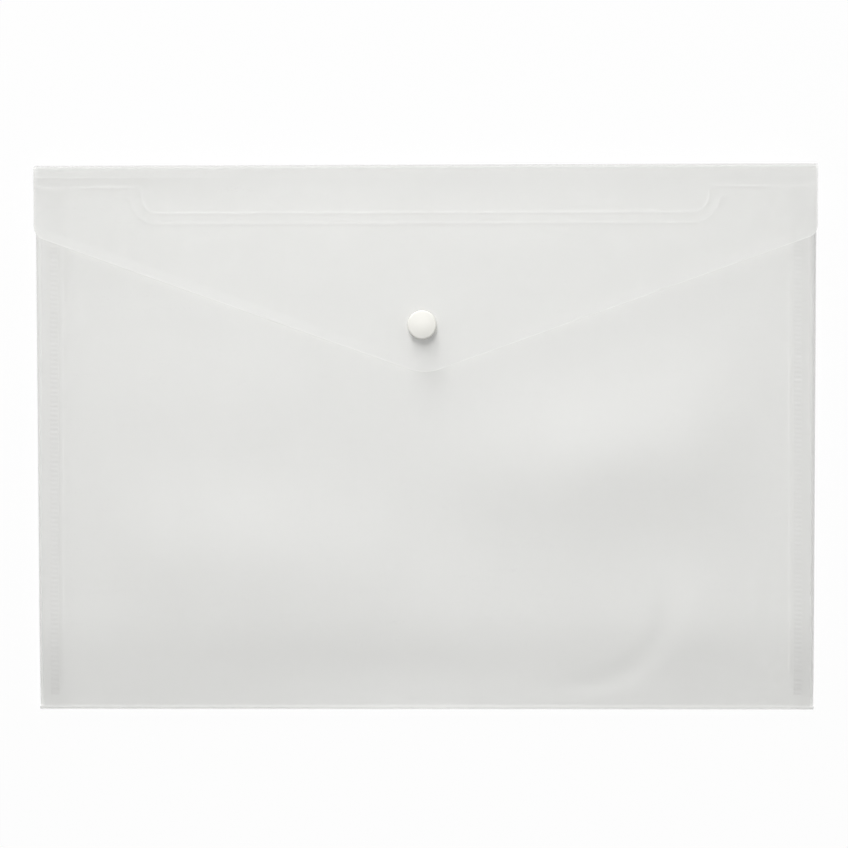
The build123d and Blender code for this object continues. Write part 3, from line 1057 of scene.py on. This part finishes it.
class WALLET_OT_snap(Operator):
    """Turn the snap's cap and give all of the snap its ivory plastic"""

    bl_idname = "wallet.snap"
    bl_label = "Snap"

    def execute(self, context):
        for node in ("snap_socket", "snap_stud", "snap_backing_cap"):
            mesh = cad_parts[node].data
            mesh.materials.clear()
            mesh.materials.append(snap_finish())
        radius, height = self.cap_profile()
        turns = 96
        angle = np.arange(turns) * 2 * np.pi / turns
        ring = np.stack([np.cos(angle), np.sin(angle)], axis=-1)
        flat = np.array([SNAP_X, SNAP_Y]) + radius[:, None, None] * ring
        high = np.broadcast_to(height[:, None, None], flat.shape[:2] + (1,))
        points = np.concatenate([flat, high], axis=-1)
        numbers = np.arange(radius.size * turns).reshape(-1, turns)
        ends = [numbers[0].tolist(), numbers[-1, ::-1].tolist()]
        faces = band_quads(numbers).tolist() + ends
        piece = add_piece("snap_button", points.reshape(-1, 3), faces, snap_finish(), "snap", ["snap_cap"])
        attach(piece, "flap")
        return {"FINISHED"}

    def cap_profile(self):
        """Radius and height down the cap: domed face, rounded edge, straight side, seat, post and rivet."""
        crown, edge_radius = 0.0005, 0.0008
        post, rivet = 0.0014, 0.0020
        middle, seat_bevel = 0.0002, 0.0001
        face_radius = CAP_RADIUS - edge_radius
        ball = (face_radius**2 + crown**2) / (2 * crown)
        face_r = np.linspace(middle, face_radius, 16)
        face_z = CAP_TOP - ball + np.sqrt(ball**2 - face_r**2)
        turn = np.linspace(0, np.pi / 2, CORNER_STEPS)[1:]
        edge_r = face_radius + edge_radius * np.sin(turn)
        edge_z = CAP_TOP - crown - edge_radius * (1 - np.cos(turn))
        seat_r = [CAP_RADIUS, CAP_RADIUS - seat_bevel, post, post, rivet, rivet, middle]
        seat_z = [FLAP_TOP + seat_bevel, FLAP_TOP, FLAP_TOP, SOCKET_WEB_Z, SOCKET_WEB_Z, CAP_LOW, CAP_LOW]
        return np.concatenate([face_r, edge_r, seat_r]), np.concatenate([face_z, edge_z, seat_z])


class WALLET_OT_stage(Operator):
    """Set the pale floor, the lamps, the even sky and the camera"""

    bl_idname = "wallet.stage"
    bl_label = "Stage"

    def execute(self, context):
        scene = context.scene
        scene.view_settings.view_transform = "Standard"
        self.floor(scene)
        self.sky(scene)
        for name, lamp in LAMPS.items():
            self.lamp(f"{name}_lamp", lamp, getattr(scene.wallet_stage, f"{name}_power"))
        self.camera(scene)
        return {"FINISHED"}

    def seen(self, nodes):
        """1 where the camera, a gloss or clear glass looks, 0 for the light that falls on things."""
        kinds = ("Is Camera Ray", "Is Glossy Ray", "Is Transmission Ray")
        camera, gloss, glass = (nodes.add("ShaderNodeLightPath", output=kind) for kind in kinds)
        return camera.most(gloss).most(glass)

    def floor(self, scene):
        """A pale plane just under the wallet, almost white to the eye, which keeps the shadow."""
        reach, drop = 4.0, 0.0003
        pale, white_share = 0.9, 0.9
        corner = np.array([[-1, -1], [1, -1], [1, 1], [-1, 1]]) * reach
        points = np.concatenate([corner, np.full((4, 1), -drop)], axis=1)
        mesh = bpy.data.meshes.new("floor")
        mesh.from_pydata(points.tolist(), [], [(0, 1, 2, 3)])
        material = bpy.data.materials.new("floor_white")
        nodes = Nodes(material)
        matt = nodes.add("ShaderNodeBsdfDiffuse", None, {"Color": opaque((pale, pale, pale))})
        white = nodes.add("ShaderNodeEmission", None, {"Color": (1, 1, 1, 1), "Strength": 1.0})
        factor = self.seen(nodes) * white_share
        surface = nodes.add("ShaderNodeMixShader", None, {0: factor, 1: matt, 2: white})
        nodes.add("ShaderNodeOutputMaterial", None, {"Surface": surface})
        mesh.materials.append(material)
        floor = bpy.data.objects.new("floor", mesh)
        scene.collection.objects.link(floor)

    def sky(self, scene):
        """An even sky that reads as white and lights the wallet at its set strength."""
        scene.world = scene.world or bpy.data.worlds.new("sky")
        nodes = Nodes(scene.world)
        strength = scene.wallet_stage.sky
        even = nodes.add("ShaderNodeBackground", None, {"Color": (1, 1, 1, 1), "Strength": strength})
        white = nodes.add("ShaderNodeBackground", None, {"Color": (1, 1, 1, 1), "Strength": 1.0})
        surface = nodes.add("ShaderNodeMixShader", None, {0: self.seen(nodes), 1: even, 2: white})
        nodes.add("ShaderNodeOutputWorld", None, {"Surface": surface})

    def lamp(self, name, lamp, power):
        """A square soft lamp that looks at the wallet's middle."""
        light = bpy.data.lights.new(name, "AREA")
        light.energy = power
        light.size = lamp.width
        holder = bpy.data.objects.new(name, light)
        holder.location = lamp.place
        holder.rotation_mode = "QUATERNION"
        holder.rotation_quaternion = (-lamp.place).to_track_quat("-Z", "Y")
        holder.visible_camera = False
        holder.visible_glossy = lamp.gloss
        bpy.context.scene.collection.objects.link(holder)

    def camera(self, scene):
        """Above the front, a little to the right, with the flap's fold at the top of the picture."""
        place, target = Vector((0.0465, 0.0158, 1.600)), Vector((-0.0005, 0.0058, 0.005))
        roll = math.radians(0.09)
        ahead = (target - place).normalized()
        up = Vector((math.sin(roll), math.cos(roll), 0))
        right = ahead.cross(up).normalized()
        up = right.cross(ahead)
        data = bpy.data.cameras.new("photo_camera")
        data.lens = scene.wallet_stage.lens
        camera = bpy.data.objects.new("photo_camera", data)
        turn = Matrix((right, up, -ahead)).transposed()
        camera.matrix_world = Matrix.Translation(place) @ turn.to_4x4()
        scene.collection.objects.link(camera)
        scene.camera = camera


class WALLET_PT_sidebar(Panel):
    """Lists the wallet's pieces, sizes and finishes"""

    bl_idname = "WALLET_PT_sidebar"
    bl_label = "Document wallet"
    bl_space_type = "VIEW_3D"
    bl_region_type = "UI"
    bl_category = "Wallet"

    def draw(self, context):
        column = self.layout.column()
        for operator in PIECES:
            column.operator(operator.bl_idname)
        for group in (context.scene.wallet_sizes, context.scene.wallet_finish, context.scene.wallet_stage):
            for name in group.__annotations__:
                column.prop(group, name)


GROUPS = {"wallet_sizes": WalletSizes, "wallet_finish": WalletFinish, "wallet_stage": WalletStage}
PIECES = (
    WALLET_OT_back_sheet,
    WALLET_OT_bottom_fold,
    WALLET_OT_front_sheet,
    WALLET_OT_side_gussets,
    WALLET_OT_hems,
    WALLET_OT_weld_seams,
    WALLET_OT_flap_fold,
    WALLET_OT_flap_sheet,
    WALLET_OT_snap,
    WALLET_OT_stage,
)


def register():
    for group in (*GROUPS.values(), *PIECES, WALLET_PT_sidebar):
        bpy.utils.register_class(group)
    for name, group in GROUPS.items():
        setattr(bpy.types.Scene, name, PointerProperty(type=group))


def unregister():
    for name in GROUPS:
        delattr(bpy.types.Scene, name)
    for group in (WALLET_PT_sidebar, *reversed(PIECES), *reversed(GROUPS.values())):
        bpy.utils.unregister_class(group)


def main():
    register()
    bpy.ops.wallet.back_sheet()
    bpy.ops.wallet.bottom_fold()
    bpy.ops.wallet.front_sheet()
    bpy.ops.wallet.side_gussets()
    bpy.ops.wallet.hems()
    bpy.ops.wallet.weld_seams()
    bpy.ops.wallet.flap_fold()
    bpy.ops.wallet.flap_sheet()
    bpy.ops.wallet.snap()
    bpy.ops.wallet.stage()


if __name__ == "__main__":
    main()
